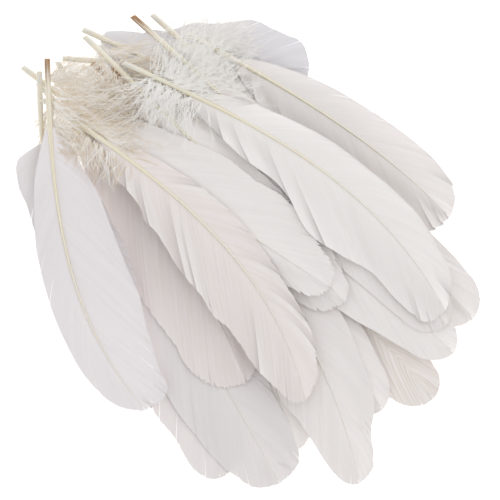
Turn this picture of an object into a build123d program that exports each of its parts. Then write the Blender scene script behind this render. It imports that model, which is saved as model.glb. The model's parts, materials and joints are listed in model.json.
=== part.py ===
from build123d import *
from dataclasses import dataclass
from itertools import product
from math import cos, hypot, radians, sin
import os

# A heap of loose goose feathers fanned out on a table. Millimetres, +Z up, the fan seen from above in XY.
# Each feather is a shaft with a vane on each side of it, and swings on its own about its quill.

BARREL_RADIUS = 1.3  # the bare quill
RACHIS_RADIUS = 1.0  # the shaft where the vanes begin
SHAFT_TIP_RADIUS = 0.32
BARREL_SHARE = 0.13  # of the shaft's length, straight and bare
END_ROUNDING = 0.5  # on the cut end of the quill
VANE_THICKNESS = 0.4
SEAT_SHARE = 0.6  # of the shaft's radius, from its centreline to the vanes' inner edges
TIP_CLEAR = 1.5  # the vanes stop this far short of the shaft's end
TIP_WIDTH = 0.5  # of a vane where it stops
SHAFT_SECTIONS = (0.3, 0.45, 0.6, 0.75, 0.88, 1.0)  # shares of the length where the rachis has a section
SEAT_POINTS = 7  # on the curve of a vane's inner edge
TINY_SHARE = 0.001  # of the length, for the direction in which the shaft runs

# A vane's outline: how far along the vane, and its width there as a share of its greatest width.
NARROW_OUTLINE = [(0.0, 0.15), (0.12, 0.52), (0.35, 0.88), (0.65, 0.98), (0.87, 0.95), (0.965, 0.62)]
WIDE_OUTLINE = [(0.0, 0.15), (0.12, 0.46), (0.35, 0.84), (0.62, 1.0), (0.85, 0.82), (0.96, 0.48)]

SWING = 4  # degrees that a feather turns each way about its quill
PIVOT_SHARE = 0.06  # of the shaft's length, from the quill's end to the pivot
STACK_GAP = 0.45  # clear height between one feather and the next
OUTLINE_MARGIN = 1.0  # how far past its outline a feather keeps others off
BALANCE = 0.5  # share of the length where a feather's weight acts
ALONG_SAMPLES = 32
ACROSS_SAMPLES = 4
SWING_SAMPLES = (-SWING, -SWING / 2, 0, SWING / 2, SWING)


@dataclass
class Feather:
    """One feather in plan. Left is to the left of someone who looks from its quill's end to its tip."""

    quill_end: tuple
    tip: tuple
    bow: float  # how far the shaft bends to the left at most
    left: float  # the left vane's greatest width
    right: float
    vane_start: float = 0.18  # share of the length where the vanes begin
    end_height: float = 0.0  # of the shaft's centreline, which the heap decides
    tip_height: float = 0.0


# From the bottom of the heap to its top.
HEAP = [
    Feather((-84, 86), (28, 82), -1.5, 20, 13),
    Feather((-75, 99), (50, 46), -1, 20, 13, vane_start=0.07),
    Feather((-86, 85), (-13, -103), 6.5, 20, 14),
    Feather((-63, 80), (83, -67), 3, 12.5, 21),
    Feather((-44, 106), (101, -31), 2, 13, 21),
    Feather((-28, 97), (90, 14), 6, 14, 22),
    Feather((-61, 82), (21, -91), 6, 14, 19),
    Feather((-83, 65), (14, -105), 0.5, 18, 23),
    Feather((-94, 75), (-1, -60), 8, 13, 25),
    Feather((-68, 76), (60, -72), 6.5, 12.5, 20),
    Feather((-49, 66), (49, -105), 13, 18, 19),
    Feather((-70, 83), (92, -46), 1.5, 12.5, 17.5),
    Feather((-52, 104), (88, -34), 4, 12.5, 18),
    Feather((-73, 95), (43, -24), 2, 13, 20),
    Feather((-100, 81), (37, -17), -2, 22, 13),
    Feather((-92, 79), (-56, -22), -14, 20, 14, vane_start=0.28),
    Feather((-56, 83), (87, -28), 16.5, 14, 21.5),
    Feather((-91, 67), (25, -68), 18.5, 13.5, 21.5),
    Feather((-88, 84), (-45, -72), -15.5, 24.5, 14),
]


def plan_length(feather):
    return hypot(feather.tip[0] - feather.quill_end[0], feather.tip[1] - feather.quill_end[1])


def sideways(feather, share):
    """How far left of the line from end to tip the shaft lies: a cubic, nearly straight at the quill."""
    most_of_the_cubic = 2 / 27**0.5
    return feather.bow * (share - share**3) / most_of_the_cubic


def between(points, at):
    """Reads a height from a list of (place, height), in straight lines between its points."""
    for (start, low), (end, high) in zip(points, points[1:]):
        if at <= end:
            return low + (high - low) * (at - start) / (end - start)
    return points[-1][1]


def outline_of(feather, widest):
    return NARROW_OUTLINE if widest == min(feather.left, feather.right) else WIDE_OUTLINE


def vane_width(feather, widest, share):
    """A vane's width at a share of the feather's length."""
    along_the_vane = (share - feather.vane_start) / (1 - feather.vane_start)
    return widest * between(outline_of(feather, widest), along_the_vane)


def shaft_radius(share):
    taper = [(BARREL_SHARE, BARREL_RADIUS), (SHAFT_SECTIONS[0], RACHIS_RADIUS), (1.0, SHAFT_TIP_RADIUS)]
    return between(taper, max(share, BARREL_SHARE))


# How the heap lies


def turned(point, centre, angle):
    """A plan point turned about a centre, in degrees anticlockwise."""
    x, y = point[0] - centre[0], point[1] - centre[1]
    c, s = cos(radians(angle)), sin(radians(angle))
    return centre[0] + x * c - y * s, centre[1] + x * s + y * c


def plan_point(feather, share, left):
    """The plan point at a share of the length and a distance left of the shaft."""
    length = plan_length(feather)
    ux = (feather.tip[0] - feather.quill_end[0]) / length
    uy = (feather.tip[1] - feather.quill_end[1]) / length
    aside = sideways(feather, share) + left
    return (
        feather.quill_end[0] + ux * share * length - uy * aside,
        feather.quill_end[1] + uy * share * length + ux * aside,
    )


def share_and_left(feather, point):
    """The reverse of plan_point."""
    length = plan_length(feather)
    ux = (feather.tip[0] - feather.quill_end[0]) / length
    uy = (feather.tip[1] - feather.quill_end[1]) / length
    x, y = point[0] - feather.quill_end[0], point[1] - feather.quill_end[1]
    share = (x * ux + y * uy) / length
    return share, y * ux - x * uy - sideways(feather, share)


def half_height(feather, share, left):
    """Half the feather's height at a place on it, or None beside it."""
    margin = OUTLINE_MARGIN / plan_length(feather)
    if not -margin <= share <= 1 + margin:
        return None
    if abs(left) <= shaft_radius(share) + OUTLINE_MARGIN:
        return shaft_radius(share)
    widest = feather.left if left > 0 else feather.right
    beyond_the_edge = abs(left) > vane_width(feather, widest, share) + OUTLINE_MARGIN
    if share < feather.vane_start - margin or beyond_the_edge:
        return None
    return VANE_THICKNESS / 2


def height(feather, share):
    return feather.end_height + (feather.tip_height - feather.end_height) * share


def places(feather):
    """Places spread over a feather, as (share of its length, distance left of its shaft)."""
    for i in range(ALONG_SAMPLES + 1):
        share = i / ALONG_SAMPLES
        yield share, 0.0
        for j in range(1, ACROSS_SAMPLES + 1):
            if share > feather.vane_start:
                yield share, vane_width(feather, feather.left, share) * j / ACROSS_SAMPLES
                yield share, -vane_width(feather, feather.right, share) * j / ACROSS_SAMPLES


def meetings(feather, other):
    """(share, other share, both half heights) where a place on one feather meets the other, as both swing."""
    pivot = plan_point(feather, PIVOT_SHARE, 0)
    other_pivot = plan_point(other, PIVOT_SHARE, 0)
    for (share, left), swing, other_swing in product(places(feather), SWING_SAMPLES, SWING_SAMPLES):
        point = turned(plan_point(feather, share, left), pivot, swing)
        point = turned(point, other_pivot, -other_swing)
        other_share, other_left = share_and_left(other, point)
        other_half = half_height(other, other_share, other_left)
        if other_half is not None:
            yield share, other_share, half_height(feather, share, left) + other_half


def heights_needed(feather, below):
    """(share, least height there) wherever a feather passes over one below it, or one below under it."""
    needed = []
    for other in below:
        for share, other_share, halves in meetings(feather, other):
            needed.append((share, height(other, other_share) + halves + STACK_GAP))
        for other_share, share, halves in meetings(other, feather):
            nearest = round(share * ALONG_SAMPLES) / ALONG_SAMPLES
            needed.append((nearest, height(other, other_share) + halves + STACK_GAP))
    return needed


def lay_down(feather, below):
    """Rests a feather on those below it, as a stick rests on a high place either side of its middle."""
    on_the_table = [(0.0, BARREL_RADIUS), (1.0, SHAFT_TIP_RADIUS)]
    props = heights_needed(feather, below) + on_the_table
    near = highest_at_each([prop for prop in props if prop[0] < BALANCE])
    far = highest_at_each([prop for prop in props if prop[0] >= BALANCE])
    (start, low), (end, high) = max(product(near, far), key=lambda pair: between(pair, BALANCE))
    slope = (high - low) / (end - start)
    feather.end_height = low - slope * start
    feather.tip_height = feather.end_height + slope


def highest_at_each(props):
    """The highest prop at each place along the feather."""
    best = {}
    for share, high in props:
        best[share] = max(high, best.get(share, high))
    return list(best.items())


# The solids, each made along +X from the quill's end, with the vanes in the XY plane


def placed(feather):
    """Where a feather lies: +X runs from its quill's end to its tip, and its vanes stay level across."""
    along = Vector(
        feather.tip[0] - feather.quill_end[0],
        feather.tip[1] - feather.quill_end[1],
        feather.tip_height - feather.end_height,
    )
    across = Vector(0, 0, 1).cross(along)
    origin = (*feather.quill_end, feather.end_height)
    return Plane(origin=origin, x_dir=along, z_dir=along.cross(across)).location


def shaft(feather, length):
    """A straight round barrel with a rounded cut end, and a rachis that tapers along the feather's bow."""

    def centre(share):
        return Vector(share * length, sideways(feather, share), 0)

    def section(share):
        heading = centre(share + TINY_SHARE) - centre(share - TINY_SHARE)
        return Plane(origin=centre(share), z_dir=heading) * Circle(shaft_radius(share))

    barrel_end = centre(BARREL_SHARE)
    first = Plane(origin=barrel_end, z_dir=barrel_end)
    barrel = first * Cylinder(BARREL_RADIUS, barrel_end.length, align=(Align.CENTER, Align.CENTER, Align.MAX))
    barrel = chamfer(barrel.edges().sort_by(Axis.X)[0], END_ROUNDING)
    sections = [first * Circle(BARREL_RADIUS)]
    sections += [section(share) for share in SHAFT_SECTIONS]
    return barrel + loft(sections)


def vane(feather, length, widest, side):
    """A flat web from the shaft to the vane's curved outer edge. side is 1 on the left, -1 on the right."""
    start, end = feather.vane_start, 1 - TIP_CLEAR / length

    def at(place, width):
        share = start + (end - start) * place
        return share * length, sideways(feather, share) + side * width

    outer = [at(place, widest * part) for place, part in outline_of(feather, widest)] + [at(1, TIP_WIDTH)]
    seat = []
    for i in range(SEAT_POINTS):
        place = i / (SEAT_POINTS - 1)
        seat.append(at(place, SEAT_SHARE * shaft_radius(start + (end - start) * place)))
    edges = [Spline(outer), Line(outer[-1], seat[-1]), Spline(seat), Line(seat[0], outer[0])]
    return extrude(make_face(edges), VANE_THICKNESS / 2, both=True)


def feather_nodes(feather, name):
    """The feather's three pieces in place, by node name."""
    length = hypot(plan_length(feather), feather.tip_height - feather.end_height)
    where = placed(feather)
    left, right = ("wide", "narrow") if feather.left > feather.right else ("narrow", "wide")
    return {
        f"{name}_shaft": where * shaft(feather, length),
        f"{name}_{left}_vane": where * vane(feather, length, feather.left, 1),
        f"{name}_{right}_vane": where * vane(feather, length, feather.right, -1),
    }


for number, feather in enumerate(HEAP):
    lay_down(feather, HEAP[:number])

nodes = {}
for number, feather in enumerate(HEAP, 1):
    nodes.update(feather_nodes(feather, f"feather_{number:02}"))

# The heap stands on z = 0, centred on its own box.
box = Compound(list(nodes.values())).bounding_box()
to_centre = Pos(-box.center().X, -box.center().Y, -box.min.Z)

os.makedirs("parts", exist_ok=True)
for name, solid in nodes.items():
    export_step(to_centre * solid, f"parts/{name}.step")

for number, feather in enumerate(HEAP, 1):
    x, y = plan_point(feather, PIVOT_SHARE, 0)
    print(
        f"feather_{number:02} pivot {x - box.center().X:.3f} {y - box.center().Y:.3f}",
        f"heights {feather.end_height - box.min.Z:.2f} {feather.tip_height - box.min.Z:.2f}",
    )
print(f"centre {box.center().X:.4f} {box.center().Y:.4f} base {box.min.Z:.4f} size {box.size}")
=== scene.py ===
"""A loose fan of white goose feathers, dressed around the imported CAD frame. Metres, in the row's own frame."""

import json
from dataclasses import dataclass, field
from math import pi, radians

import bpy
import numpy as np
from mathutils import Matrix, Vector


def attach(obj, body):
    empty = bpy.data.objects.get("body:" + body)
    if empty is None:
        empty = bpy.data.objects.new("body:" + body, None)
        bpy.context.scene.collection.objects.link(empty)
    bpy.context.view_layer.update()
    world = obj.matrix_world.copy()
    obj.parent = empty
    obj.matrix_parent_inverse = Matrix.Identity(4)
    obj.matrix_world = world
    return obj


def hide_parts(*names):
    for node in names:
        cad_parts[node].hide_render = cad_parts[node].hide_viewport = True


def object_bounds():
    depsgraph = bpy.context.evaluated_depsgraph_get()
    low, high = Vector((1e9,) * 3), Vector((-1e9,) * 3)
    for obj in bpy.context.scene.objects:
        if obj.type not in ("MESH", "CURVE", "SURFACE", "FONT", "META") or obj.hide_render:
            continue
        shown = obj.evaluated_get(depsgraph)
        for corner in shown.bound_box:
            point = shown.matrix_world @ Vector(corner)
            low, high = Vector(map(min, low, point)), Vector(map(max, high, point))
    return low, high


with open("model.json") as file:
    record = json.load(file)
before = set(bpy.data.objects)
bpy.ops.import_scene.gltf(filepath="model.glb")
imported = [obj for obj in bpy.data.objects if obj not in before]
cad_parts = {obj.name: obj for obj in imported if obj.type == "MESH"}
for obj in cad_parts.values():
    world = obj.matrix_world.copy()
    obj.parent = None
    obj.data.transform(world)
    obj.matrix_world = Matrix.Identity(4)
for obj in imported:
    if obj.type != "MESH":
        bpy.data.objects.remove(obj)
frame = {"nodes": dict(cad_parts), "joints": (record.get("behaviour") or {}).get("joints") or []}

MM = 0.001
TINY = 1e-9  # keeps a divisor off zero
cad_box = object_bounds()

# The view and the light
VIEW_WIDTH = 220 * MM  # across the picture, at the heap's middle height
VIEW_CENTRE = (-0.6 * MM, -0.2 * MM)  # from the middle of the heap
SENSOR = 36
LENS = 200
FLOOR_SIZE = 3.0
FLOOR_DROP = 0.05 * MM  # below the lowest feather
SKY_STRENGTH = 0.77
KEY_POWER = 2.7
KEY_SIZE = 1.6
KEY_PLACE = (0.55, 0.6, 0.85)

# Reading the CAD nodes
SLICES = 60  # along a feather
LEAST_POINTS = 20  # of a shaft in a slice, for its middle and radius to be read there
END_SLICE = 1.5 * MM
BOW_DEGREE = 4  # of the polynomial that a shaft's bow is fitted with
SEAT_AT_TIP = 0.35 * MM  # a vane's points nearer the shaft than this are its inner edge, not its outline
SEAT_TAPER = 1.0 * MM  # more than that at the quill's end
WAVE_LENGTH = 16 * MM  # of an outline that wavers

# Webs of barbs
BARB_PITCH = 0.7 * MM  # one ridge of the web
ROWS = 14  # along a barb
ROW_SPACING = 0.9  # a power: below 1, the rows crowd towards the barbs' ends
ROOT_ANGLE = radians(33)  # between a barb and the shaft, where the vane begins
TIP_ANGLE = radians(13)
ANGLE_CURVE = 1.5  # a power: above 1, the angle changes slowly at first
FOOT_ANGLE = radians(45)  # more than that, at the very foot of the vane
FOOT_SHARE = 0.05
BARB_BULGE = 0.03  # how far a barb bows towards the quill, as a share of its length
BARB_SEAT = 0.4  # how far from the shaft's middle a barb starts, as a share of the rachis's radius
EDGE_STEPS = 300  # tries at where a barb meets the outline
END_SMOOTHINGS = 4
ROOT_THICKNESS = 0.26 * MM
EDGE_THICKNESS = 0.12 * MM
RIDGE = 0.018 * MM
RIDGE_RISE = 4  # the ridges reach their full height at one part in this many of the way out
EDGE_RAGGEDNESS = 0.25 * MM
RIDGE_RAGGEDNESS = 0.5  # shares of it: between one half barb and the next
CHANCE_RAGGEDNESS = 0.3  # and by chance
FRAY_LENGTH = 1.2 * MM
BARB_TONE, BARB_TONE_LENGTH = 0.006, 1.5 * MM  # how much lighter or darker, and over what length
PATCH_TONE, PATCH_TONE_LENGTH = 0.008, 6 * MM

# How a web hangs
LONG_BILLOW, SHORT_BILLOW = 0.22 * MM, 0.154 * MM  # heights of the slow waves along a vane
LONG_BILLOW_LENGTH, SHORT_BILLOW_LENGTH = 12 * MM, 3.5 * MM
DROOP_CURVE = 1.8  # a power: above 1, the droop grows towards the edge
CLEARANCE = 0.3 * MM  # between a web and what lies under it
SUPPORT_STEP = 6  # half barbs between the places where what lies under is looked up
HEIGHT_SMOOTHINGS = 6

# Splits between barbs, with distances between them in half barbs
FREE_CURVE = 1.4  # a power: above 1, barbs come free slowly at first
FOLD_BARBS = 7  # over which a fold's lift dies away
FOLD_LIFT = 0.45  # of a fold's overlap
FOLD_SLIDE, UNDER_SLIDE = 0.7, 0.3  # of its overlap, for the barbs on top and the ones below
UNDER_DROP = 0.1 * MM
# painted highlight on a fold's loose edge, standing in for light caught by the lifted barbs
FOLD_PAINTED_HIGHLIGHT = 0.9  # how far a fold's loose edge turns towards the palest tint
# painted shadow on the barbs that a fold covers
FOLD_PAINTED_SHADOW = 0.3  # how much darker the barbs it covers are
GAP_BARBS = 9  # over which a gap's opening dies away
GAP_COUNT = (5, 10)  # in a vane: at least the first, and fewer than the second
GAP_PLACE = (0.05, 0.95)  # share along the vane
GAP_DEPTH = (0.15, 0.6)  # share of the barbs' length
GAP_WIDTH = (0.15, 0.7)  # millimetres
GAP_RISE, GAP_DROP = 0.1 * MM, 0.15 * MM  # of the barbs after it and the ones before
SPLIT_ROOM = 14  # more than this from one split to another

# The heap as a height map
CELL = 1.5 * MM
MAP_MARGIN = 15 * MM
SWINGS = np.radians((-4, -2, 0, 2, 4))

# Shafts
AROUND = 20
SHAFT_STATIONS = 90
STATION_SPACING = 1.1  # a power: above 1, the stations crowd towards the cut end
FIRST_STATION = 1.5 * MM
TIP_GAP = 3 * MM  # the last station stops this far short of the CAD shaft's tip
TIP_POINT = 0.6 * MM  # past the last station
BORE_SHARE = 0.72  # of the barrel's radius, at its cut end
BORE_DEPTH = 5 * MM
BORE_END = 0.2  # the radius of the flat at its bottom, as a share of its own
LIP_INSIDE, LIP, LIP_OUTSIDE = 0.3 * MM, 0.05 * MM, 0.2 * MM  # how far along the three rings of the cut end lie
LIP_ROUNDING = 0.97  # of the barrel's radius, at the outer one
MOST_SLANT = 0.35  # of the cut end, as a slope
RACHIS_SHARE = 0.68  # of the CAD shaft's radius, where the webs hide its sides
RACHIS_RUN = 25 * MM  # over which the barrel narrows to the rachis
RACHIS_FLATNESS = 0.35  # of its underside
HAIR_START = 0.6  # share along the shaft, where it begins to thin to a hair
HAIR_THINNING = 0.5
SHARP_ANGLE = radians(50)

# Down
STRAND_POINTS = 9
STRAND_CORNERS = np.radians((30, 150, 270))  # about a strand, so that a flat side faces up
STRAND_RADIUS, STRAND_TAPER = 0.16 * MM, 0.35
BARBULE_RADIUS, BARBULE_TAPER = 0.07 * MM, 0.3
BARBULES = 9  # on a strand
BARBULE_LENGTH = (1.2, 3.6)  # millimetres
BARBULE_TURN = (8, 35)  # degrees from the strand
BARBULE_PLACE = (0.1, 1)  # share along the strand
BARBULE_RISE = 0.08  # a slope, up or down
BARE_SHARE = 0.07  # of the feather's length, from its cut end, where no down grows
LEAST_HEADING = radians(25)  # between a plume and the shaft
CURL = 35  # degrees
CURL_CURVE = 1.3  # a power: above 1, a plume curls more towards its end
LENGTH_FACTOR = (0.5, 1.3)
WAVER = radians(9)
RIPPLES = (6, 14)  # radians of waver along a plume
RIPPLE_START = 6  # at most
STAND_CURVE = 0.7  # a power: below 1, more plumes stand high than low
SEAT_STEP = 0.1  # how much deeper the lowest plume starts, as a share of the shaft's radius
ARCH = 0.75 * pi  # a plume rises, and sinks a little towards its end
# the lower plumes keep more of the down's tint, painted shade where that tint is tan
WHITENESS_CURVE = 2  # a power: above 1, only the highest plumes are white
DOWN_HEADROOM = 4 * MM  # over the CAD's top

# Random numbers: one stream for each purpose, plus the vane's side where it has one
HANG_STREAM, SPLIT_STREAM, EDGE_STREAM, QUILL_STREAM, DOWN_STREAM, OUTLINE_STREAM = 10, 20, 30, 40, 50, 60

LEFT, RIGHT = 1, -1

# Tints
LAVENDER = (0.91, 0.865, 0.88)
PINK = (0.93, 0.865, 0.845)
WARM = (0.935, 0.89, 0.872)
PALE = (0.96, 0.918, 0.9)
GREY = (0.9, 0.855, 0.845)
# painted shade: a darker copy of GREY for a feather that lies low under others
SHADED_GREY = (0.875, 0.835, 0.825)
BLUE = (0.86, 0.845, 0.88)
# painted highlight: the colour that a fold's loose edge turns towards
PAINTED_HIGHLIGHT_COLOUR = (1.0, 0.975, 0.955)
WHITE_DOWN = (1.0, 0.985, 0.96)
# painted shade: a warm brown on the lower plumes, standing in for the shade deep in the fluff and between the
# quills
SHADE_TAN_DOWN = (0.80, 0.67, 0.50)


@dataclass
class Look:
    """How one feather looks, where it differs from the rest."""

    tint: tuple = PINK
    folds: tuple = ()  # (side, share along the vane, how deep, overlap in metres)
    bumps: tuple = ()  # (side, share along the vane, how far out in metres, how wide a share)
    wave: float = 0.04  # how far its outline wavers, as a share of its width
    tips: tuple = (0.1, 0.1)  # the last share of each vane, left and right, that rounds off to the tip
    droop: float = 0.17  # how far a vane's edge hangs below its root, as a share of its width
    fray: float = 0.35  # how uneven its barbs' ends are, as a multiple of EDGE_RAGGEDNESS
    down: int = 108  # plumes
    down_sides: tuple = (LEFT, RIGHT)
    # what the lower plumes turn to; the tan one is painted shade
    down_tint: tuple = WHITE_DOWN
    down_lift: float = 0.2 * MM  # how high the highest rise over where they start
    down_length: float = 18 * MM
    down_back: float = 2 * MM  # how far behind the foot of the vanes they centre
    down_spread: float = 8 * MM  # along the shaft
    down_fan: float = radians(80)  # the widest angle from the shaft
    down_seat: float = 1.1  # where they leave it: 0 on top, 1 and over beside it, as a share of its radius
    stain: float = 0.2  # how brown its cut end is
    streaks: float = 0.03  # how dark its barbs are marked


# Two kinds of down that several feathers share: a wide burst, and a mat whose lower plumes are painted tan as
# shade
BURST = {"down_fan": radians(140), "down_length": 19 * MM}
SHADE_TAN = {"down": 180, "down_tint": SHADE_TAN_DOWN, "down_back": 14 * MM, "down_spread": 9 * MM}

# By number, from the bottom of the heap to its top
LOOKS = {
    1: Look(
        tint=BLUE,
        stain=0.1,
        wave=0.03,
        bumps=((LEFT, 0.2, 3 * MM, 0.06), (LEFT, 0.42, 1.5 * MM, 0.07), (LEFT, 0.72, 1.5 * MM, 0.07)),
        down=48,
        down_sides=(RIGHT,),
    ),
    2: Look(tint=BLUE, stain=0.1, wave=0.07, down=48, down_sides=(RIGHT,)),
    3: Look(
        tint=GREY,
        stain=0.0,
        wave=0.05,
        fray=1.2,
        tips=(0.1, 0.16),
        bumps=((RIGHT, 0.76, 6 * MM, 0.09),),
        down_sides=(LEFT,),
        **SHADE_TAN,
    ),
    4: Look(tint=WARM, streaks=0.4, tips=(0.06, 0.12), **SHADE_TAN),
    5: Look(tint=PALE, down=216, down_back=6 * MM, **BURST),
    6: Look(
        tint=WARM,
        folds=(
            (RIGHT, 0.06, 0.8, 1.5 * MM),
            (RIGHT, 0.14, 0.7, 2 * MM),
            (LEFT, 0.7, 0.4, 1.5 * MM),
            (RIGHT, 0.78, 0.6, 2 * MM),
            (RIGHT, 0.88, 0.6, 2 * MM),
        ),
        down=180,
        down_back=20 * MM,
        down_spread=7 * MM,
        down_lift=0.6 * MM,
        down_seat=0,
        **BURST,
    ),
    7: Look(tint=PALE, stain=0.9, fray=1.0, **SHADE_TAN),
    8: Look(
        # painted shade: the grey tint made darker
        tint=SHADED_GREY,
        wave=0.05,
        fray=1.0,
        tips=(0.03, 0.07),
        bumps=((LEFT, 0.97, 4 * MM, 0.04), (RIGHT, 0.88, 3 * MM, 0.06)),
        down_sides=(LEFT,),
        **SHADE_TAN,
    ),
    9: Look(tint=PINK, fray=4, tips=(0.08, 0.22), droop=0.3, streaks=0.12, **SHADE_TAN),
    10: Look(tint=WARM, droop=0.25, stain=0.5, **SHADE_TAN),
    11: Look(
        tint=WARM,
        tips=(0.03, 0.24),
        bumps=((RIGHT, 0.7, 4 * MM, 0.1), (LEFT, 0.9, -5 * MM, 0.06), (LEFT, 0.6, 2 * MM, 0.1)),
        down_tint=SHADE_TAN_DOWN,
    ),
    12: Look(tint=PALE, stain=1.0, **SHADE_TAN),
    13: Look(
        tint=WARM,
        stain=0.8,
        down=300,
        down_lift=0.3 * MM,
        down_back=0.0,
        down_spread=11 * MM,
        **BURST,
    ),
    14: Look(
        tint=PALE,
        fray=4,
        droop=0.35,
        bumps=((LEFT, 0.93, -3 * MM, 0.1), (RIGHT, 0.8, 2 * MM, 0.1)),
        down=168,
        down_tint=SHADE_TAN_DOWN,
        down_back=8 * MM,
        down_spread=10 * MM,
    ),
    15: Look(
        tint=PALE,
        fray=4,
        droop=0.35,
        bumps=((LEFT, 0.95, -3 * MM, 0.1), (RIGHT, 0.85, -2 * MM, 0.1)),
        down=216,
        down_sides=(LEFT,),
        down_tint=SHADE_TAN_DOWN,
        down_back=10 * MM,
        down_spread=12 * MM,
    ),
    16: Look(
        tint=LAVENDER,
        wave=0.05,
        bumps=((RIGHT, 0.06, 7 * MM, 0.1), (RIGHT, 0.2, 3 * MM, 0.08)),
        down=48,
        down_sides=(LEFT,),
    ),
    17: Look(
        tint=PALE,
        folds=(
            (RIGHT, 0.08, 0.9, 2 * MM),
            (RIGHT, 0.13, 0.9, 1.5 * MM),
            (RIGHT, 0.24, 0.9, 2.5 * MM),
            (RIGHT, 0.31, 0.7, 2 * MM),
            (RIGHT, 0.75, 0.4, 1.5 * MM),
            (LEFT, 0.1, 0.6, 2 * MM),
            (LEFT, 0.85, 0.5, 1.5 * MM),
        ),
        tips=(0.12, 0.06),
        droop=0.26,
        bumps=((RIGHT, 0.38, -2 * MM, 0.08), (RIGHT, 0.55, 2 * MM, 0.08)),
        down=240,
        down_lift=0.24 * MM,
        down_back=9 * MM,
        down_seat=0,
        **BURST,
    ),
    18: Look(
        tint=PINK,
        folds=(
            (RIGHT, 0.03, 0.9, 2 * MM),
            (RIGHT, 0.08, 0.95, 3 * MM),
            (RIGHT, 0.13, 0.9, 2.5 * MM),
            (RIGHT, 0.24, 0.95, 3 * MM),
            (RIGHT, 0.28, 0.8, 2 * MM),
            (RIGHT, 0.6, 0.7, 2 * MM),
            (LEFT, 0.2, 0.8, 3 * MM),
            (LEFT, 0.5, 0.8, 2 * MM),
            (LEFT, 0.62, 0.8, 2 * MM),
            (LEFT, 0.7, 0.7, 1.5 * MM),
        ),
        tips=(0.06, 0.25),
        bumps=(
            (RIGHT, 0.12, 1.5 * MM, 0.03),
            (RIGHT, 0.27, 2 * MM, 0.03),
            (RIGHT, 0.45, 2 * MM, 0.08),
            (RIGHT, 0.62, 2 * MM, 0.04),
            (RIGHT, 0.93, -3 * MM, 0.08),
            (LEFT, 0.7, -1 * MM, 0.1),
        ),
        fray=2.5,
        droop=0.24,
        down=192,
        down_tint=SHADE_TAN_DOWN,
        down_back=4 * MM,
        down_spread=7 * MM,
        down_length=12 * MM,
        streaks=0.12,
    ),
    19: Look(
        tint=LAVENDER,
        folds=((LEFT, 0.93, 0.5, 2 * MM),),
        stain=0.7,
        down=144,
        down_tint=SHADE_TAN_DOWN,
        down_back=8 * MM,
        down_length=14 * MM,
        down_sides=(LEFT,),
        down_lift=0.12 * MM,
    ),
}


def wander(random, places, spacing):
    """A smooth random line through knots a spacing apart, about zero."""
    knots = np.arange(places.min() - spacing, places.max() + 2 * spacing, spacing)
    values = random.normal(size=len(knots))
    position = (places - knots[0]) / spacing
    index = position.astype(int)
    share = position - index
    share = share * share * (3 - 2 * share)
    return values[index] * (1 - share) + values[index + 1] * share


# Reading the frame


def vertices(node):
    """A CAD node's vertices as rows of x, y, z."""
    data = frame["nodes"][node].data.vertices
    points = np.empty(len(data) * 3, np.float32)
    data.foreach_get("co", points)
    return points.reshape(-1, 3).astype(float)


def middle_of(points):
    """The middle of the box around some points."""
    return (points.min(0) + points.max(0)) / 2


@dataclass
class Vane:
    """One side's outline, as distances along the feather and widths there."""

    node: str
    side: int
    along: np.ndarray
    width: np.ndarray
    rounding: float  # the last share of it, which ends in a quarter of an ellipse
    wave: tuple  # distances along and factors there, for an outline that wavers
    bumps: list  # (share along, how far out, how wide a share)

    def width_at(self, along):
        """The outline's width, with its own bumps, and the tip rounded as a quarter of an ellipse."""
        start, end = self.along[0], self.along[-1]
        shoulder = end - self.rounding * (end - start)
        width = np.interp(np.minimum(along, shoulder), self.along, self.width, left=0)
        share = (along - start) / (end - start)
        for place, reach, spread in self.bumps:
            width = width + reach * np.exp(-(((share - place) / spread) ** 2))
        past = np.clip((along - shoulder) / (end - shoulder), 0, 1)
        return np.maximum(width, 0) * np.sqrt(1 - past**2) * np.interp(along, *self.wave)


@dataclass
class Feather:
    """A feather in its own axes: x runs from its quill's end to its tip, y to the left, z up."""

    number: int
    name: str
    origin: np.ndarray
    axes: np.ndarray
    length: float
    bow: np.ndarray  # coefficients of the shaft's distance left of the straight line, by distance along
    radii: tuple  # distances along and the shaft's radius there
    vanes: list = field(default_factory=list)

    def centre(self, along):
        """How far left of the straight line the shaft's middle is."""
        return np.polyval(self.bow, along)

    def radius(self, along):
        """The CAD shaft's radius."""
        return np.interp(along, *self.radii)

    def to_world(self, points):
        """Points in the feather's own axes, in the frame's axes."""
        return self.origin + points @ self.axes

    @property
    def vane_start(self):
        """How far along the first of the two vanes begins."""
        return min(vane.along[0] for vane in self.vanes)

    @property
    def look(self):
        """What sets this feather apart."""
        return LOOKS[self.number]

    def random(self, stream):
        """A seeded source of random numbers, the same on each run."""
        return np.random.default_rng((self.number, stream))


def shaft_ends(points):
    """The centres of a shaft's two ends, the thick one first."""
    middle = points.mean(0)
    chord = np.linalg.svd(points - middle, full_matrices=False)[2][0]
    place = (points - middle) @ chord
    ends = [points[place < place.min() + END_SLICE], points[place > place.max() - END_SLICE]]
    ends.sort(key=lambda end: np.ptp(end, axis=0).max(), reverse=True)
    return middle_of(ends[0]), middle_of(ends[1])


def read_slices(points, length):
    """A shaft's middles as rows of x and y, and its radii as rows of x and radius, slice by slice."""
    centres, radii = [(0.0, 0.0)], []
    edges = np.linspace(0, length, SLICES + 1)
    for low, high in zip(edges, edges[1:]):
        inside = points[(points[:, 0] >= low) & (points[:, 0] < high)]
        if len(inside) > LEAST_POINTS:
            middle = middle_of(inside)
            centres.append((middle[0], middle[1]))
            radii.append((middle[0], np.ptp(inside[:, 2]) / 2))
    centres.append((length, 0.0))
    return np.array(centres), np.array(radii)


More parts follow.
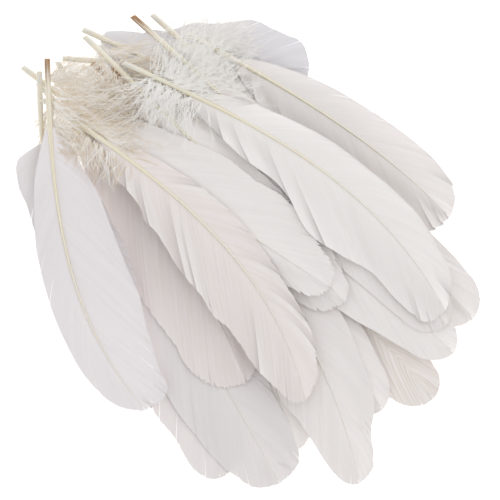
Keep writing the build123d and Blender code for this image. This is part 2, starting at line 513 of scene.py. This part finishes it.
def read_vane(feather, node):
    """A vane's outline, from the outer points of its CAD node."""
    local = (vertices(node) - feather.origin) @ feather.axes.T
    aside = local[:, 1] - feather.centre(local[:, 0])
    side = LEFT if aside.mean() > 0 else RIGHT
    inner = SEAT_AT_TIP + SEAT_TAPER * (1 - local[:, 0] / feather.length)
    outer = np.abs(aside) > inner
    order = np.argsort(local[outer, 0])
    places = np.linspace(0, feather.length, SLICES)
    wavering = wander(feather.random(OUTLINE_STREAM + side), places, WAVE_LENGTH)
    wave = (places, 1 + feather.look.wave * wavering)
    bumps = [bump for which, *bump in feather.look.bumps if which == side]
    rounding = feather.look.tips[0 if side == LEFT else 1]
    return Vane(node, side, local[outer, 0][order], np.abs(aside)[outer][order], rounding, wave, bumps)


def read_feather(number):
    """A feather's axes, bow and radii, from its CAD shaft, and both its vanes."""
    name = f"feather_{number:02}"
    points = vertices(f"{name}_shaft")
    quill_end, tip = shaft_ends(points)
    along = tip - quill_end
    length = np.linalg.norm(along)
    along /= length
    across = np.cross((0, 0, 1), along)
    across /= np.linalg.norm(across)
    axes = np.array([along, across, np.cross(along, across)])
    centres, radii = read_slices((points - quill_end) @ axes.T, length)
    bow = np.polyfit(*centres.T, BOW_DEGREE)
    feather = Feather(number, name, quill_end, axes, length, bow, tuple(radii.T))
    feather.vanes = [read_vane(feather, f"{name}_{kind}_vane") for kind in ("narrow", "wide")]
    return feather


# The heap's heights, so that each web hangs down to what it lies on and no further

map_low = np.array(cad_box[0])[:2] - MAP_MARGIN
map_shape = tuple(np.ceil((np.array(cad_box[1])[:2] + MAP_MARGIN - map_low) / CELL).astype(int) + 1)
pivots = {joint["child"]: np.array(joint["pos_m"][:2]) for joint in frame["joints"]}
tops = {}


def cell_of(plan):
    """The height map's cell at each plan point, or the nearest one where it is off the map."""
    index = np.round((plan - map_low) / CELL).astype(int)
    return np.clip(index, 0, np.array(map_shape) - 1)


def widened(heights):
    """The highest of each cell and its eight neighbours."""
    padded = np.pad(heights, 1)
    rows, columns = heights.shape
    shifted = [padded[i : i + rows, j : j + columns] for i in range(3) for j in range(3)]
    return np.max(shifted, axis=0)


def remember_top(name, points):
    """Adds a feather's upper surface to the heap's height map."""
    heights = tops.setdefault(name, np.zeros(map_shape))
    index = cell_of(points[:, :2])
    np.maximum.at(heights, (index[:, 0], index[:, 1]), points[:, 2])


def turned(plan, centre, angle):
    """Plan points turned about a centre."""
    cosine, sine = np.cos(angle), np.sin(angle)
    return centre + (plan - centre) @ np.array([[cosine, sine], [-sine, cosine]])


def support_under(name, plan):
    """How high the feathers below reach at each plan point, whichever feather swings."""
    highest = np.zeros(plan.shape[:-1])
    for lower, heights in tops.items():
        for body in (name, lower):
            if body not in pivots:
                continue
            for angle in SWINGS:
                index = cell_of(turned(plan, pivots[body], angle))
                highest = np.maximum(highest, heights[index[..., 0], index[..., 1]])
    return highest


# Meshes


def add_attribute(mesh, name, kind, key, rows):
    """A named value at each vertex, for the materials to read."""
    attribute = mesh.attributes.new(name, kind, "POINT")
    attribute.data.foreach_set(key, np.asarray(rows, np.float32).ravel())


def mesh_object(name, points, faces, material, body, place, tint):
    """A piece from vertices and faces of four corners, or of three where the last repeats."""
    mesh = bpy.data.meshes.new(name)
    sizes = np.where(faces[:, 2] == faces[:, 3], 3, 4)
    corners = faces[np.arange(4) < sizes[:, None]]
    mesh.vertices.add(len(points))
    mesh.vertices.foreach_set("co", np.asarray(points, np.float32).ravel())
    mesh.loops.add(len(corners))
    mesh.loops.foreach_set("vertex_index", corners.astype(np.int32))
    mesh.polygons.add(len(faces))
    starts = np.concatenate([[0], np.cumsum(sizes)[:-1]])
    mesh.polygons.foreach_set("loop_start", starts.astype(np.int32))
    mesh.update(calc_edges=True)
    mesh.shade_smooth()
    mesh.set_sharp_from_angle(angle=SHARP_ANGLE)
    add_attribute(mesh, "place", "FLOAT_VECTOR", "vector", place)
    add_attribute(mesh, "tint", "FLOAT_COLOR", "color", tint)
    mesh.materials.append(material)
    piece = bpy.data.objects.new(name, mesh)
    bpy.context.scene.collection.objects.link(piece)
    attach(piece, body)
    return piece


def grid_faces(columns, rows, first=0):
    """Quads over a grid of vertices numbered row by row within each column."""
    column, row = np.meshgrid(np.arange(columns - 1), np.arange(rows - 1), indexing="ij")
    corner = (first + column * rows + row).ravel()
    return np.stack([corner, corner + rows, corner + rows + 1, corner + 1], axis=1)


def slab_faces(columns, rows, first):
    """The quads of a closed slab: a grid of upper vertices, then the same grid of lower ones."""
    count = columns * rows
    upper = grid_faces(columns, rows, first)
    lower = grid_faces(columns, rows, first + count)[:, ::-1]
    around = np.concatenate(
        [
            np.arange(columns) * rows,
            (columns - 1) * rows + np.arange(1, rows),
            np.arange(columns - 1)[::-1] * rows + rows - 1,
            np.arange(rows - 1)[:0:-1],
        ]
    )
    here = first + around
    after = np.roll(here, -1)
    walls = np.stack([here, here + count, after + count, after], axis=1)
    return np.concatenate([upper, lower, walls])


# Webs of barbs


def meeting_with_edge(vane, roots, angles):
    """How far along each barb reaches the vane's edge, for barbs that leave the shaft at these angles."""
    end = vane.along[-1]
    steps = np.linspace(0, 1, EDGE_STEPS)
    tries = roots[:, None] + (end - roots[:, None]) * steps
    beyond = (tries - roots[:, None]) * np.tan(angles)[:, None] >= vane.width_at(tries)
    beyond[:, -1] = True
    return tries[np.arange(len(roots)), beyond.argmax(axis=1)]


def smoothed(grid, times):
    """Each value averaged with its neighbours, the ends held."""
    for _ in range(times):
        padded = np.pad(grid, 1, mode="edge")
        grid = (padded[:-2, 1:-1] + padded[2:, 1:-1] + padded[1:-1, :-2] + padded[1:-1, 2:] + 2 * grid) / 6
    return grid


@dataclass
class Web:
    """A vane's barbs as a grid of points in the feather's own axes: one column a half barb, one row a step out."""

    feather: Feather
    vane: Vane
    roots: np.ndarray
    out: np.ndarray  # share of the barb's length at each row
    points: np.ndarray


def spread_barbs(feather, vane):
    """The vane's middle surface before it hangs."""
    start, end = vane.along[0], vane.along[-1]
    count = 2 * int((end - start) / BARB_PITCH)
    share = np.linspace(0, 1, count + 1)
    roots = start + (end - start) * share
    angles = ROOT_ANGLE + (TIP_ANGLE - ROOT_ANGLE) * share**ANGLE_CURVE
    angles += FOOT_ANGLE * np.exp(-share / FOOT_SHARE)
    ends = smoothed(meeting_with_edge(vane, roots, angles)[:, None], END_SMOOTHINGS)[:, 0]
    seats = BARB_SEAT * RACHIS_SHARE * feather.radius(roots)
    chord_x, chord_y = ends - roots, np.maximum(vane.width_at(ends) - seats, 0)
    out = np.linspace(0, 1, ROWS) ** ROW_SPACING
    bulge = BARB_BULGE * 4 * out * (1 - out)
    along = roots[:, None] + chord_x[:, None] * out - chord_y[:, None] * bulge
    aside = seats[:, None] + chord_y[:, None] * out + chord_x[:, None] * bulge
    points = np.stack([along, feather.centre(along) + vane.side * aside, np.zeros_like(along)], axis=-1)
    return Web(feather, vane, roots, out, points)


def hang(web):
    """Lets the web droop away from the shaft until it meets what lies below."""
    feather = web.feather
    random = feather.random(HANG_STREAM + web.vane.side)
    widest = web.vane.width.max()
    flat = feather.to_world(web.points)
    level = flat[..., 2]
    billows = LONG_BILLOW * wander(random, web.roots, LONG_BILLOW_LENGTH)
    billows += SHORT_BILLOW * wander(random, web.roots, SHORT_BILLOW_LENGTH)
    reach = np.linalg.norm(web.points[:, -1] - web.points[:, 0], axis=1) / widest
    droop = feather.look.droop * widest * np.minimum(reach, 1)[:, None] * web.out**DROOP_CURVE
    wanted = level - droop + billows[:, None] * web.out
    coarse = slice(None, None, SUPPORT_STEP)
    support = support_under(feather.name, flat[coarse, :, :2]) + CLEARANCE
    columns = np.arange(len(web.roots))
    support = np.stack([np.interp(columns, columns[coarse], support[:, row]) for row in range(ROWS)], axis=1)
    support = np.minimum(support, level)
    height = np.clip(wanted, support, level)
    height = np.clip(smoothed(height, HEIGHT_SMOOTHINGS), support, level)
    web.points[..., 2] += height - level


@dataclass
class Split:
    """A line between two barbs where the web has come unzipped."""

    column: int
    depth: float  # how much of the barbs' length is free
    width: float
    folded: bool  # the next barbs ride up over these, or else a gap stands open


def split_columns(web):
    """Where the web parts, in order along the vane."""
    random = web.feather.random(SPLIT_STREAM + web.vane.side)
    last = len(web.roots) - 1
    found = [
        Split(int(share * last), depth, width, True)
        for side, share, depth, width in web.feather.look.folds
        if side == web.vane.side
    ]
    for share in random.uniform(*GAP_PLACE, random.integers(*GAP_COUNT)):
        column = int(share * last)
        if all(abs(column - split.column) > SPLIT_ROOM for split in found):
            found.append(Split(column, random.uniform(*GAP_DEPTH), random.uniform(*GAP_WIDTH) * MM, False))
    return sorted(found, key=lambda split: split.column)


def part_at(points, out, split, starts):
    """Moves the barbs beside a split, and returns how far each point is free, below zero where it is covered.

    Those that start after a fold ride up over the ones before.
    """
    barbs = np.arange(len(points)) if starts else np.arange(len(points))[::-1]
    fade = np.exp(-barbs / (FOLD_BARBS if split.folded else GAP_BARBS))[:, None]
    free = np.clip((out - (1 - split.depth)) / split.depth, 0, 1) ** FREE_CURVE * fade
    if split.folded:
        points[..., 0] -= (FOLD_SLIDE if starts else -UNDER_SLIDE) * split.width * free
        points[..., 2] += (FOLD_LIFT * split.width if starts else -UNDER_DROP) * free
        return free if starts else -free
    points[..., 0] += (split.width / 2 if starts else -split.width / 2) * free
    points[..., 2] += (GAP_RISE if starts else -GAP_DROP) * free
    return np.zeros_like(free)


def ragged_points(web, ridge, random):
    """The web's points, with the ends of its barbs made uneven."""
    points = web.points.copy()
    outward = points[:, -1] - points[:, -2]
    outward /= np.maximum(np.linalg.norm(outward, axis=1, keepdims=True), TINY)
    fray = web.feather.look.fray * np.abs(wander(random, web.roots, FRAY_LENGTH))
    chance = CHANCE_RAGGEDNESS * random.normal(size=len(web.roots))
    ragged = EDGE_RAGGEDNESS * (RIDGE_RAGGEDNESS * ridge + chance - fray)
    points[:, -1] += outward * ragged[:, None]
    return points


def clump_tint(look, tone, free):
    """A clump's colour at each point, with a painted highlight where its barbs ride free over a fold and a painted
    shadow on the barbs that a fold covers, with its streaks in the fourth column.
    """
    # A painted highlight on the free barbs and a painted shadow on the covered ones.
    painted_highlight = FOLD_PAINTED_HIGHLIGHT * np.sqrt(np.maximum(free, 0))[..., None]
    shade = 1 - FOLD_PAINTED_SHADOW * np.sqrt(np.maximum(-free, 0))
    lit = (tone[:, None] * shade)[..., None] * look.tint
    tint = np.full((*free.shape, 4), look.streaks)
    tint[..., :3] = np.minimum(lit + painted_highlight * (np.array(PAINTED_HIGHLIGHT_COLOUR) - lit), 1)
    return tint.reshape(-1, 4)


def web_mesh(web, material):
    """A vane: closed clumps of barbs, parted at its splits, ridged along each barb and ragged at the edge."""
    feather, vane = web.feather, web.vane
    random = feather.random(EDGE_STREAM + vane.side)
    ridge = np.where(np.arange(len(web.roots)) % 2 == 1, 1.0, -1.0)
    web_points = ragged_points(web, ridge, random)
    splits = split_columns(web)
    ends = [0, *(split.column for split in splits), len(web.roots) - 1]
    half_thickness = (ROOT_THICKNESS + (EDGE_THICKNESS - ROOT_THICKNESS) * web.out) / 2
    barb_length = np.linalg.norm(web_points[:, -1] - web_points[:, 0], axis=1)
    tone = 1 + BARB_TONE * wander(random, web.roots, BARB_TONE_LENGTH)
    tone += PATCH_TONE * wander(random, web.roots, PATCH_TONE_LENGTH)
    web_places = np.stack(
        np.broadcast_arrays(web.roots[:, None], barb_length[:, None] * web.out, feather.number + 0.5 * vane.side),
        axis=-1,
    )
    points, faces, places, tints = [], [], [], []
    count = 0
    for number, (first, last) in enumerate(zip(ends, ends[1:])):
        barbs = slice(first, last + 1)
        clump = web_points[barbs].copy()
        free = np.zeros(clump.shape[:2])
        if number > 0:
            free += part_at(clump, web.out, splits[number - 1], True)
        if number < len(splits):
            free += part_at(clump, web.out, splits[number], False)
        clump[..., 2] += RIDGE * ridge[barbs, None] * np.minimum(1, RIDGE_RISE * web.out)
        for above in (half_thickness, -half_thickness):
            surface = clump.copy()
            surface[..., 2] += above
            points.append(surface.reshape(-1, 3))
        faces.append(slab_faces(len(clump), ROWS, count))
        places += [web_places[barbs].reshape(-1, 3)] * 2
        tints += [clump_tint(feather.look, tone[barbs], free)] * 2
        count += 2 * free.size
    faces = np.concatenate(faces)
    if vane.side == RIGHT:
        faces = faces[:, ::-1]
    world = feather.to_world(np.concatenate(points))
    place, tint = np.concatenate(places), np.concatenate(tints)
    piece = mesh_object(f"{vane.node}_web", world, faces, material, feather.name, place, tint)
    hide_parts(vane.node)
    return world


# Shafts


@dataclass
class Ring:
    """A ring of points about the shaft."""

    along: float
    radius: float
    shown_along: float  # the distance along that its material goes by
    slant: float = 0
    flatness: float = 0  # of its underside


def shaft_rings(feather):
    """A shaft's rings: from the bottom of its bore out to the cut end, and over it on to the tip."""
    slant = abs(feather.random(QUILL_STREAM).uniform(-MOST_SLANT, MOST_SLANT))
    stations = np.linspace(0, 1, SHAFT_STATIONS) ** STATION_SPACING * (feather.length - TIP_GAP)
    barrel = feather.radius(stations[1])
    bore = BORE_SHARE * barrel
    rings = [
        Ring(BORE_DEPTH, BORE_END * bore, BORE_DEPTH),
        Ring(BORE_DEPTH, bore, BORE_DEPTH),
        Ring(LIP_INSIDE, bore, 0, slant),
        Ring(LIP, (bore + barrel) / 2, 0, slant),
        Ring(LIP_OUTSIDE, LIP_ROUNDING * barrel, LIP_OUTSIDE, slant),
    ]
    for along in stations[stations > FIRST_STATION]:
        webbed = np.clip((along - feather.vane_start) / RACHIS_RUN, 0, 1)
        hair = np.clip((along / feather.length - HAIR_START) / (1 - HAIR_START), 0, 1)
        narrowing = (1 - (1 - RACHIS_SHARE) * webbed) * (1 - HAIR_THINNING * hair)
        rings.append(Ring(along, feather.radius(along) * narrowing, along, 0, RACHIS_FLATNESS * webbed))
    return rings


def ring_points(feather, ring, angles):
    """A ring's points in the feather's own axes."""
    aside = ring.radius * np.cos(angles)
    above = ring.radius * np.sin(angles)
    above = np.where(above < 0, above * (1 - ring.flatness), above)
    along = ring.along + ring.slant * (ring.radius + aside)
    return np.stack([along, feather.centre(ring.along) + aside, above], axis=1)


def shaft_faces(rings):
    """The walls between a number of rings, and the fans that close the first and the last.

    The fans' middles are two more points: the last ring's, then the first ring's.
    """
    here = np.arange(AROUND)
    after = (here + 1) % AROUND
    start = np.arange(rings - 1)[:, None] * AROUND
    walls = np.stack([start + after, start + after + AROUND, start + here + AROUND, start + here], axis=-1)
    last = (rings - 1) * AROUND
    tip = np.full(AROUND, rings * AROUND)
    bore = tip + 1
    start_cap = np.stack([after, here, bore, bore], axis=1)
    end_cap = np.stack([last + here, last + after, tip, tip], axis=1)
    return np.concatenate([walls.reshape(-1, 4), start_cap, end_cap])


def shaft_mesh(feather, material):
    """A hollow cut barrel that tapers into a rachis with a flatter underside, and ends as a hair."""
    angles = np.linspace(0, 2 * pi, AROUND, endpoint=False)
    rings = shaft_rings(feather)
    circles = [ring_points(feather, ring, angles) for ring in rings]
    tip = circles[-1].mean(0) + (TIP_POINT, 0, 0)
    world = feather.to_world(np.concatenate([*circles, [tip], [circles[0].mean(0)]]))
    facing = np.stack([np.cos(angles), np.sin(angles)], axis=1)
    places = [np.column_stack([np.full(AROUND, ring.shown_along), facing]) for ring in rings]
    place = np.concatenate([*places, [(feather.length, 0, 0)], [(BORE_DEPTH, 0, 0)]])
    place[:, 1:] += feather.number
    stain = np.full((len(world), 4), feather.look.stain)
    faces = shaft_faces(len(rings))
    piece = mesh_object(f"{feather.name}_quill", world, faces, material, feather.name, place, stain)
    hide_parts(f"{feather.name}_shaft")
    return world


# Down


def tube_faces(length, sides, tubes):
    """The faces of many closed tubes whose points are numbered tube by tube, ring by ring."""
    ring_start = np.arange(length - 1)[:, None] * sides
    corner = np.arange(sides)
    here = ring_start + corner
    after = ring_start + (corner + 1) % sides
    walls = np.stack([here, here + sides, after + sides, after], axis=-1).reshape(-1, 4)
    last = (length - 1) * sides
    caps = np.array([(0, 1, 2, 2), (last + 2, last + 1, last, last)])
    one = np.concatenate([walls, caps])
    return (one + np.arange(tubes)[:, None, None] * length * sides).reshape(-1, 4)


def thin_tubes(lines, radius, taper):
    """Three-sided tubes along many lines at once, each thinner towards its end."""
    direction = np.gradient(lines, axis=1)
    direction /= np.linalg.norm(direction, axis=-1, keepdims=True)
    aside = np.cross(direction, (0, 0, 1))
    aside /= np.maximum(np.linalg.norm(aside, axis=-1, keepdims=True), TINY)
    over = np.cross(aside, direction)
    radii = (radius * np.linspace(1, taper, lines.shape[1]))[:, None]
    corners = [lines + radii * (np.cos(angle) * aside + np.sin(angle) * over) for angle in STRAND_CORNERS]
    return np.stack(corners, axis=2).reshape(-1, 3)


def plumes(feather, random):
    """Curved lines that leave the shaft near the foot of the vanes, and how high each stands, from 0 to 1."""
    look = feather.look
    count = look.down
    side = random.choice(look.down_sides, count)
    along = feather.vane_start + random.normal(-look.down_back, look.down_spread, count)
    along = np.maximum(along, BARE_SHARE * feather.length)
    heading = side * random.uniform(LEAST_HEADING, look.down_fan, count)
    curl = side * np.radians(random.uniform(-CURL, CURL, count))
    length = random.uniform(*LENGTH_FACTOR, count) * look.down_length
    share = np.linspace(0, 1, STRAND_POINTS)
    ripple = share * random.uniform(*RIPPLES, count)[:, None] + random.uniform(0, RIPPLE_START, count)[:, None]
    angle = heading[:, None] + curl[:, None] * share**CURL_CURVE + WAVER * np.sin(ripple)
    step = (length / (STRAND_POINTS - 1))[:, None]
    x = along[:, None] + np.cumsum(np.cos(angle), axis=1) * step
    start = feather.centre(along) + look.down_seat * side * feather.radius(along)
    y = start[:, None] + np.cumsum(np.sin(angle), axis=1) * step
    stand = random.uniform(0, 1, count) ** STAND_CURVE
    root = (SEAT_STEP * (stand - 1) + max(0, 1 - look.down_seat)) * feather.radius(along)
    z = root[:, None] + (stand * look.down_lift)[:, None] * np.sin(share * ARCH)
    return np.stack([x, y, z], axis=-1), stand


def barbules(lines, random):
    """Short straight hairs that leave each line on both sides."""
    shape = (len(lines), BARBULES)
    place = random.uniform(*BARBULE_PLACE, shape) * (STRAND_POINTS - 1)
    index = np.minimum(place.astype(int), STRAND_POINTS - 2)
    row = np.arange(len(lines))[:, None]
    run = lines[row, index + 1] - lines[row, index]
    root = lines[row, index] + run * (place - index)[..., None]
    turn = np.arctan2(run[..., 1], run[..., 0])
    turn += random.choice((RIGHT, LEFT), shape) * np.radians(random.uniform(*BARBULE_TURN, shape))
    reach = random.uniform(*BARBULE_LENGTH, shape) * MM
    rise = random.uniform(-BARBULE_RISE, BARBULE_RISE, shape)
    tip = root + reach[..., None] * np.stack([np.cos(turn), np.sin(turn), rise], axis=-1)
    return np.stack([root, tip], axis=2).reshape(-1, 2, 3)


def down_mesh(feather, material):
    """Loose plumes at the foot of the vanes, each with finer hairs along it. The highest are the whitest; the
    lower ones take the down's tint, which is painted shade where it is tan.
    """
    random = feather.random(DOWN_STREAM)
    lines, stand = plumes(feather, random)
    low, high = np.array(cad_box)[:, :2]
    plan = feather.to_world(lines)[..., :2]
    inside = ((plan > low) & (plan < high)).all(axis=(1, 2))
    lines, stand = lines[inside], stand[inside]
    hairs = barbules(lines, random)
    stems = thin_tubes(lines, STRAND_RADIUS, STRAND_TAPER)
    points = feather.to_world(np.concatenate([stems, thin_tubes(hairs, BARBULE_RADIUS, BARBULE_TAPER)]))
    points[:, 2] = np.clip(points[:, 2], cad_box[0].z + BARBULE_RADIUS, cad_box[1].z + DOWN_HEADROOM)
    sides = len(STRAND_CORNERS)
    stem_faces = tube_faces(STRAND_POINTS, sides, len(lines))
    hair_faces = tube_faces(hairs.shape[1], sides, len(hairs)) + len(stems)
    hair_points = BARBULES * hairs.shape[1] * sides
    stands = np.concatenate([np.repeat(stand, STRAND_POINTS * sides), np.repeat(stand, hair_points)])
    # the lower a plume stands, the more of the down's tint it takes: painted shade deep in the fluff
    white = stands[:, None] ** WHITENESS_CURVE
    tint = np.ones((len(points), 4))
    tint[:, :3] = np.array(feather.look.down_tint) * (1 - white) + np.array(WHITE_DOWN) * white
    faces = np.concatenate([stem_faces, hair_faces])
    mesh_object(f"{feather.name}_down", points, faces, material, feather.name, points, tint)


# Materials

MIX_FROM, MIX_TO, MIX_RESULT = 6, 7, 2  # a Mix node's sockets for colours, which share names with others
VANE_SETTINGS = {
    "Roughness": 0.62,
    "Sheen Weight": 0.12,
    "Sheen Roughness": 0.4,
    "Specular IOR Level": 0.3,
    "Subsurface Weight": 0.12,
    "Subsurface Radius": (1.0, 0.9, 0.8),
    "Subsurface Scale": 0.6 * MM,
}
QUILL_SETTINGS = {
    "Roughness": 0.25,
    "Coat Weight": 0.5,
    "Subsurface Weight": 0.35,
    "Subsurface Radius": (1.0, 0.85, 0.6),
    "Subsurface Scale": 1.5 * MM,
}
DOWN_SETTINGS = {"Roughness": 0.9, "Sheen Weight": 1.0, "Specular IOR Level": 0.1}
FLOOR_SETTINGS = {
    "Base Color": (0.93, 0.93, 0.93, 1),
    "Roughness": 0.9,
    "Emission Color": (1, 1, 1, 1),
    "Emission Strength": 0.5,
}
QUILL_LENGTH = 170 * MM  # over which a quill runs through its tones
QUILL_TONES = ((0.0, (0.90, 0.87, 0.79)), (0.3, (0.92, 0.87, 0.70)), (0.8, (0.93, 0.90, 0.85)))
STAIN_LENGTH = 24 * MM
STAIN_STRENGTH = 2.0


def new_material(name, settings):
    """A material, and its node tree and shader, with uniform settings on the shader's own sockets."""
    made = bpy.data.materials.new(name)
    made.use_nodes = True
    shader = made.node_tree.nodes["Principled BSDF"]
    for key, value in settings.items():
        shader.inputs[key].default_value = value
    return made, made.node_tree, shader


def add_node(tree, kind, values=None, **settings):
    """A shader node with its settings, and values or links for its inputs."""
    made = tree.nodes.new(kind)
    for key, value in settings.items():
        setattr(made, key, value)
    for key, value in (values or {}).items():
        if isinstance(value, bpy.types.NodeSocket):
            tree.links.new(value, made.inputs[key])
        else:
            made.inputs[key].default_value = value
    return made


def read_attribute(tree, name):
    """The outputs of a value stored at each vertex."""
    return add_node(tree, "ShaderNodeAttribute", attribute_name=name).outputs


def streaks(tree, place, stretch, detail=3.0):
    """Noise drawn out by a different number of waves a unit along each axis of a place."""
    scaled = add_node(tree, "ShaderNodeVectorMath", {0: place, 1: stretch}, operation="MULTIPLY")
    noise = add_node(tree, "ShaderNodeTexNoise", {"Vector": scaled.outputs[0], "Scale": 1.0, "Detail": detail})
    return noise.outputs["Fac"]


def ranged(tree, value, start, end, low=0.0, high=1.0):
    """A value's way from start to end, turned into one from low to high and held there."""
    limits = {"Value": value, "From Min": start, "From Max": end, "To Min": low, "To Max": high}
    return add_node(tree, "ShaderNodeMapRange", limits).outputs[0]


def multiplied(tree, first, *others):
    """The product of sockets and numbers."""
    for other in others:
        first = add_node(tree, "ShaderNodeMath", {0: first, 1: other}, operation="MULTIPLY").outputs[0]
    return first


def tones_along(tree, share, tones):
    """A colour that runs through tones, each with its share of the way."""
    ramp = add_node(tree, "ShaderNodeValToRGB", {0: share})
    elements = ramp.color_ramp.elements
    elements.remove(elements[1])
    (elements[0].position, first), *others = tones
    elements[0].color = (*first, 1)
    for position, tone in others:
        elements.new(position).color = (*tone, 1)
    return ramp.outputs[0]


def darkened(tree, colour, factor, amount, shade):
    """Multiplies a colour by a shade where a factor is high."""
    share = ranged(tree, factor, 0.4, 0.65, 0.0, amount)
    inputs = {"Factor": share, MIX_FROM: colour, MIX_TO: (*shade, 1)}
    mixed = add_node(tree, "ShaderNodeMix", inputs, data_type="RGBA", blend_type="MULTIPLY")
    return mixed.outputs[MIX_RESULT]


def add_bump(tree, shader, height, strength, distance):
    """A fine relief on a shader."""
    bump = add_node(tree, "ShaderNodeBump", {"Height": height, "Strength": strength, "Distance": distance})
    tree.links.new(bump.outputs[0], shader.inputs["Normal"])


def vane_material():
    """White barbs: fine lines along them, a soft sheen and a little light from under the surface."""
    made, tree, shader = new_material("goose_vane", VANE_SETTINGS)
    place = read_attribute(tree, "place")["Vector"]
    tint = read_attribute(tree, "tint")
    fine = streaks(tree, place, (1800, 60, 40))
    broad = streaks(tree, place, (500, 30, 40))
    colour = darkened(tree, tint["Color"], fine, 0.06, (0.72, 0.68, 0.64))
    colour = darkened(tree, colour, broad, tint["Alpha"], (0.66, 0.56, 0.44))
    tree.links.new(colour, shader.inputs["Base Color"])
    add_bump(tree, shader, fine, 0.3, 0.15 * MM)
    return made


def quill_material():
    """Keratin: a cream, glassy barrel, a pale yellow rachis, a brown stain at some cut ends, and painted shade
    that makes the sides and underside darker than the top.
    """
    made, tree, shader = new_material("goose_quill", QUILL_SETTINGS)
    place = read_attribute(tree, "place")["Vector"]
    tint = read_attribute(tree, "tint")
    along = add_node(tree, "ShaderNodeSeparateXYZ", {0: place}).outputs["X"]
    grain = streaks(tree, place, (40, 5, 5), 4.0)
    colour = tones_along(tree, ranged(tree, along, 0.0, QUILL_LENGTH), QUILL_TONES)
    colour = darkened(tree, colour, grain, 0.5, (0.80, 0.72, 0.58))
    # painted shade: the shaft's sides and underside darker than its top, standing in for the dark edges of a lit
    # glassy tube
    normal = add_node(tree, "ShaderNodeTexCoord").outputs["Normal"]
    upward = add_node(tree, "ShaderNodeSeparateXYZ", {0: normal}).outputs["Z"]
    colour = darkened(tree, colour, ranged(tree, upward, 0.8, 0.2, 0.4, 0.65), 0.5, (0.78, 0.70, 0.56))
    near_end = ranged(tree, along, 0.0, STAIN_LENGTH, 1.0, 0.0)
    blotch = streaks(tree, place, (70, 5, 5))
    stain = multiplied(tree, near_end, tint["Alpha"], blotch, STAIN_STRENGTH)
    colour = darkened(tree, colour, stain, 1.0, (0.42, 0.22, 0.08))
    tree.links.new(colour, shader.inputs["Base Color"])
    add_bump(tree, shader, grain, 0.2, 0.2 * MM)
    return made


def down_material():
    """Loose down: matt, bright and fine."""
    made, tree, shader = new_material("goose_down", DOWN_SETTINGS)
    patches = streaks(tree, read_attribute(tree, "place")["Vector"], (140, 140, 140), 2.0)
    tint = read_attribute(tree, "tint")["Color"]
    colour = darkened(tree, tint, patches, 0.15, (0.86, 0.80, 0.70))
    tree.links.new(colour, shader.inputs["Base Color"])
    return made


# The studio


def add_object(name, data, location):
    """A new object in the scene."""
    made = bpy.data.objects.new(name, data)
    made.location = location
    bpy.context.scene.collection.objects.link(made)
    return made


def add_floor():
    """A white sweep under the heap."""
    half = FLOOR_SIZE / 2
    mesh = bpy.data.meshes.new("floor")
    mesh.from_pydata([(-half, -half, 0), (half, -half, 0), (half, half, 0), (-half, half, 0)], [], [(0, 1, 2, 3)])
    mesh.materials.append(new_material("white_sweep", FLOOR_SETTINGS)[0])
    floor = add_object("floor", mesh, (0, 0, cad_box[0].z - FLOOR_DROP))


def add_lights():
    """An even white sky, and one large soft light from the upper right."""
    world = bpy.data.worlds.new("studio")
    world.use_nodes = True
    background = world.node_tree.nodes["Background"]
    background.inputs["Color"].default_value = (1, 1, 1, 1)
    background.inputs["Strength"].default_value = SKY_STRENGTH
    bpy.context.scene.world = world
    key = bpy.data.lights.new("key", "AREA")
    key.energy = KEY_POWER
    key.size = KEY_SIZE
    lamp = add_object("key", key, KEY_PLACE)
    lamp.rotation_euler = (-Vector(KEY_PLACE)).to_track_quat("-Z", "Y").to_euler()


def add_camera():
    """A long lens that looks straight down on the heap."""
    camera = bpy.data.cameras.new("camera")
    camera.sensor_width = SENSOR
    camera.lens = LENS
    offset = Vector((*VIEW_CENTRE, VIEW_WIDTH * LENS / SENSOR))
    bpy.context.scene.camera = add_object("camera", camera, (cad_box[0] + cad_box[1]) / 2 + offset)
    bpy.context.scene.view_settings.view_transform = "Standard"


def dress_heap():
    """Builds each feather on its CAD nodes, from the bottom of the heap to its top."""
    vane_finish, quill_finish, down_finish = vane_material(), quill_material(), down_material()
    for number in sorted(LOOKS):
        feather = read_feather(number)
        surfaces = [shaft_mesh(feather, quill_finish)]
        for vane in feather.vanes:
            web = spread_barbs(feather, vane)
            hang(web)
            surfaces.append(web_mesh(web, vane_finish))
        for surface in surfaces:
            remember_top(feather.name, surface)
        tops[feather.name] = widened(tops[feather.name])
        down_mesh(feather, down_finish)


add_floor()
add_lights()
add_camera()
dress_heap()
